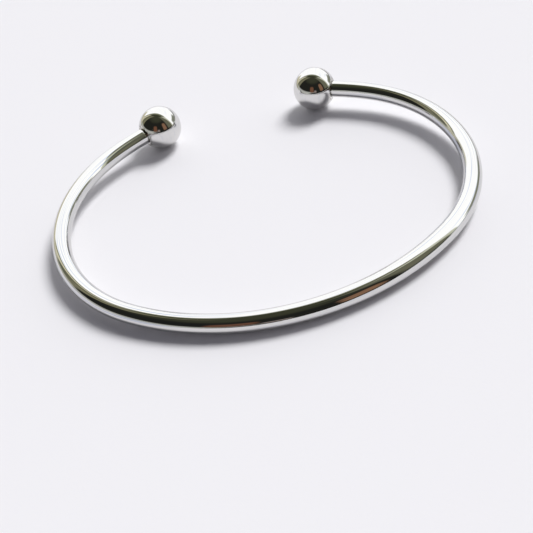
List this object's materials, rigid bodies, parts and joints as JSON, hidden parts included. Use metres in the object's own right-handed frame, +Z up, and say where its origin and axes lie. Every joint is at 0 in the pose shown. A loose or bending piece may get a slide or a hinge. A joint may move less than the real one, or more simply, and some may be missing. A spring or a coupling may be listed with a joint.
{
  "type": "torque bangle",
  "caption": "Open oval torque bangle of round polished silver wire, with a drilled ball on each end, slipped over the wrist through its gap.",
  "frame": {"origin": "middle of the bangle's footprint, on the surface that it lies on", "axes": "+X across the bangle to the right-hand ball's side, +Y from the front of the hoop to the opening between the balls, +Z up from the surface"},
  "size_m": [0.072, 0.0596, 0.008],
  "materials": {
    "silver_wire": "drawn sterling silver wire, mirror polished",
    "silver_ball": "turned sterling silver ball, mirror polished, with a flat land at the joint"
  },
  "bodies": {
    "root": {"hoop_wire": "silver_wire", "ball_left": "silver_ball", "ball_right": "silver_ball"}
  },
  "joints": []
}
